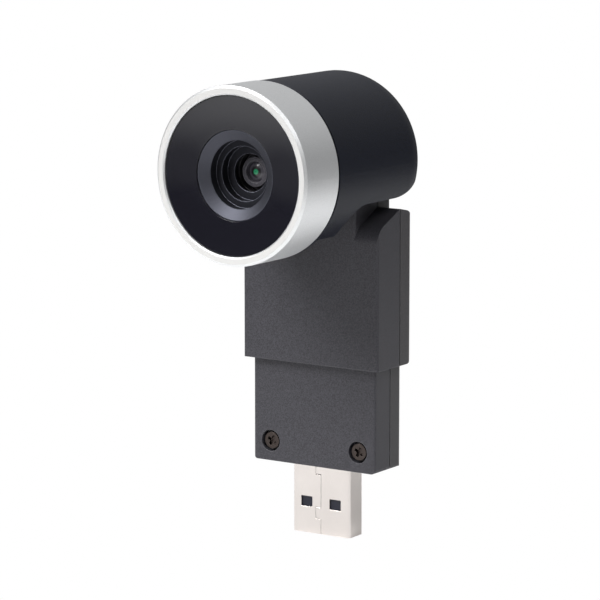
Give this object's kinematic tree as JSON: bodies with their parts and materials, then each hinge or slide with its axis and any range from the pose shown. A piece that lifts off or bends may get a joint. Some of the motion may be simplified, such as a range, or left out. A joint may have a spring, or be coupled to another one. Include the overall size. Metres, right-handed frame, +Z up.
{
  "type": "conference camera",
  "caption": "Conference camera: a round head that tilts on a flat stem with a USB plug; turning the silver ring round its front closes a privacy shutter over the lens.",
  "frame": {"origin": "centre of the plug where it leaves the stem", "axes": "+Z up from the plug through the stem to the head, -Y the way the lens looks, +X to the right as seen from the front"},
  "size_m": [0.0308, 0.0404, 0.0826],
  "materials": {
    "plug_metal": "nickel plated, satin",
    "plug_plastic": "moulded dark blue plastic",
    "contact_metal": "gold plated",
    "board": "solder mask over glass fibre board",
    "connector_plastic": "moulded connector plastic",
    "block_plastic": "fine moulded texture",
    "cover_plastic": "fine moulded texture",
    "screw_dark": "black oxide",
    "hinge_steel": "turned steel",
    "clip_steel": "spring steel",
    "wire_jacket": "soft jacket",
    "housing_plastic": "fine grained blue-black",
    "standoff_brass": "turned brass",
    "chip": "moulded package",
    "sensor": "glass covered package",
    "filter_glass": "coated filter glass",
    "lens_glass": "coated optical glass",
    "holder_plastic": "matt black",
    "barrel_metal": "black anodised",
    "collar_plastic": "moulded chassis plastic",
    "bezel_metal": "satin grey",
    "panel_gloss": "piano black",
    "ring_metal": "bead blasted, bright chamfers",
    "driver_plastic": "low friction plastic",
    "leaf_metal": "matt black blackened sheet"
  },
  "bodies": {
    "stem": {"usb_shell": "plug_metal", "usb_tongue": "plug_plastic", "usb_contacts": "contact_metal", "adapter_board": "board", "board_connector": "connector_plastic", "lower_front_shell": "block_plastic", "lower_rear_cover": "cover_plastic", "lower_screws": "screw_dark", "upper_front_shell": "block_plastic", "upper_rear_cover": "cover_plastic", "tower_screws": "screw_dark", "hinge_axles": "hinge_steel", "friction_washers": "hinge_steel", "hinge_clips": "clip_steel", "stem_wires": "wire_jacket"},
    "head": {"head_housing": "housing_plastic", "hinge_brackets": "hinge_steel", "bracket_screws": "screw_dark", "head_wires": "wire_jacket", "head_connector": "connector_plastic", "main_board": "board", "processor": "chip", "link_connector": "connector_plastic", "standoffs": "standoff_brass", "board_screws": "screw_dark", "sensor_board": "board", "image_sensor": "sensor", "ir_filter": "filter_glass", "lens_holder": "holder_plastic", "holder_screws": "screw_dark", "lens_barrel": "barrel_metal", "front_lens": "lens_glass", "rear_lens": "lens_glass", "collar": "collar_plastic", "collar_screws": "screw_dark", "lens_bezel": "bezel_metal", "front_panel": "panel_gloss"},
    "ring": {"ring_bezel": "ring_metal", "shutter_driver": "driver_plastic"},
    "leaf_left": {"shutter_leaf_left": "leaf_metal"},
    "leaf_right": {"shutter_leaf_right": "leaf_metal"}
  },
  "joints": [
    {"name": "head_tilt", "type": "hinge", "parent": "stem", "child": "head", "pos_m": [0, -0.0009, 0.0525], "axis": [1, 0, 0], "range_deg": [-10, 25]},
    {"name": "ring_turn", "type": "hinge", "parent": "head", "child": "ring", "pos_m": [0, -0.025, 0.0544], "axis": [0, -1, 0], "range_deg": [0, 50]},
    {"name": "leaf_left_turn", "type": "hinge", "parent": "head", "child": "leaf_left", "pos_m": [0, -0.0234, 0.0634], "axis": [0, -1, 0], "range_deg": [0, 25]},
    {"name": "leaf_right_turn", "type": "hinge", "parent": "head", "child": "leaf_right", "pos_m": [0, -0.0231, 0.0454], "axis": [0, -1, 0], "range_deg": [0, 25]}
  ],
  "couplings": [
    {"joint": "leaf_left_turn", "follows": "ring_turn", "ratio": 0.5},
    {"joint": "leaf_right_turn", "follows": "ring_turn", "ratio": 0.5}
  ]
}
